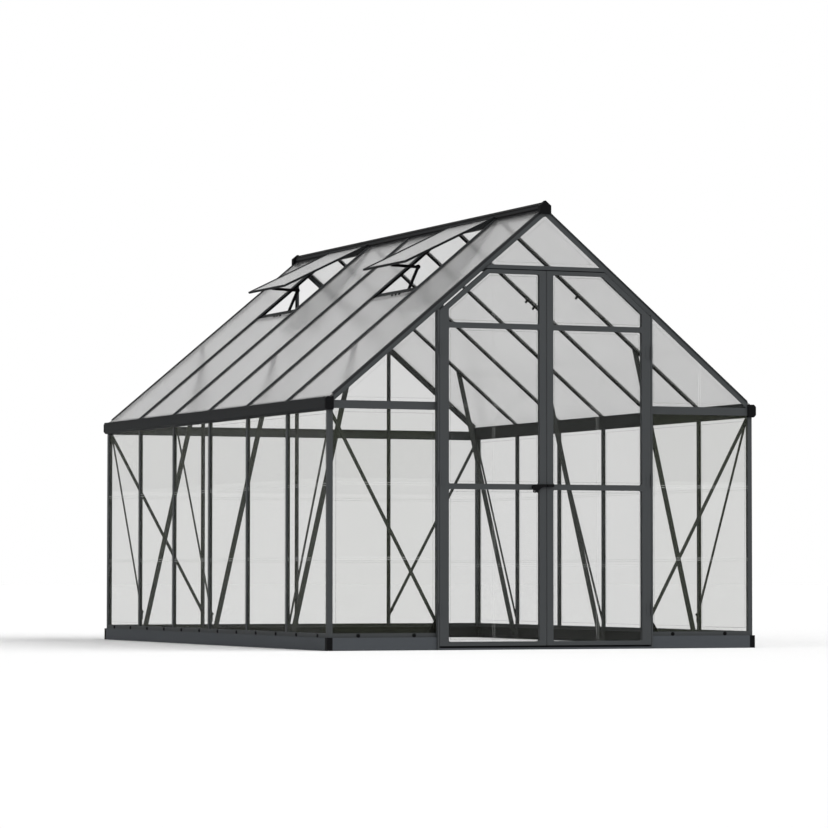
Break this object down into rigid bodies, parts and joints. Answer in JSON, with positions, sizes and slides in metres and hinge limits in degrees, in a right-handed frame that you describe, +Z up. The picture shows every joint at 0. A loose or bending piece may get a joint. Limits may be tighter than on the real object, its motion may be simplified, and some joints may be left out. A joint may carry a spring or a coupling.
{
  "type": "apex greenhouse",
  "caption": "Walk-in apex greenhouse with a dark metal frame, clear wall sheets, opal roof panels, hinged double doors and open roof vents",
  "frame": {"origin": "centre of the base at ground level", "axes": "front with the doors faces -Y, +X to the right seen from the front, +Z up"},
  "size_m": [2.462, 3.68, 2.338],
  "materials": {
    "frame_metal": "satin anthracite powder coat on aluminium",
    "base_metal": "satin grey powder coat on galvanised sheet",
    "brace_metal": "satin dark powder coat",
    "hinge_metal": "satin dark powder coat",
    "dark_metal": "satin dark powder coat",
    "black_plastic": "matte black moulding",
    "clear_sheet": "clear sheet, faintly grey",
    "roof_panel": "opal sheet that blurs what is behind it"
  },
  "bodies": {
    "house": {"base_rails": "base_metal", "base_corners": "black_plastic", "threshold": "base_metal", "sill_rails": "frame_metal", "corner_posts": "frame_metal", "left_wall_bars": "frame_metal", "right_wall_bars": "frame_metal", "rear_wall_bars": "frame_metal", "door_jambs": "frame_metal", "door_head": "frame_metal", "eave_rails": "frame_metal", "gutters": "dark_metal", "gutter_end_caps": "black_plastic", "gable_rafters": "frame_metal", "ridge_beam": "dark_metal", "ridge_end_caps": "black_plastic", "left_roof_bars": "dark_metal", "right_roof_bars": "dark_metal", "knee_struts": "brace_metal", "wall_braces": "brace_metal", "jamb_gussets": "black_plastic", "vent_sills": "dark_metal", "vent_frames": "dark_metal", "vent_panes": "roof_panel", "vent_stay_arms": "black_plastic", "vent_stay_links": "black_plastic", "left_wall_sheets": "clear_sheet", "right_wall_sheets": "clear_sheet", "front_wall_sheets": "clear_sheet", "rear_wall_sheets": "clear_sheet", "front_gable_sheets": "clear_sheet", "rear_gable_sheets": "clear_sheet", "left_roof_panels": "roof_panel", "right_roof_panels": "roof_panel", "jamb_hinges": "hinge_metal"},
    "left_door": {"left_door_stiles": "frame_metal", "left_door_rails": "frame_metal", "left_door_panes": "clear_sheet", "left_door_hinges": "hinge_metal", "left_latch": "black_plastic"},
    "right_door": {"right_door_stiles": "frame_metal", "right_door_rails": "frame_metal", "right_door_panes": "clear_sheet", "right_door_hinges": "hinge_metal", "right_latch": "black_plastic"}
  },
  "joints": [
    {"name": "left_door_hinge", "type": "hinge", "parent": "house", "child": "left_door", "pos_m": [-0.604, -1.8425, 0.96], "axis": [0, 0, -1], "range_deg": [0, 120]},
    {"name": "right_door_hinge", "type": "hinge", "parent": "house", "child": "right_door", "pos_m": [0.604, -1.8425, 0.96], "axis": [0, 0, 1], "range_deg": [0, 120]}
  ]
}
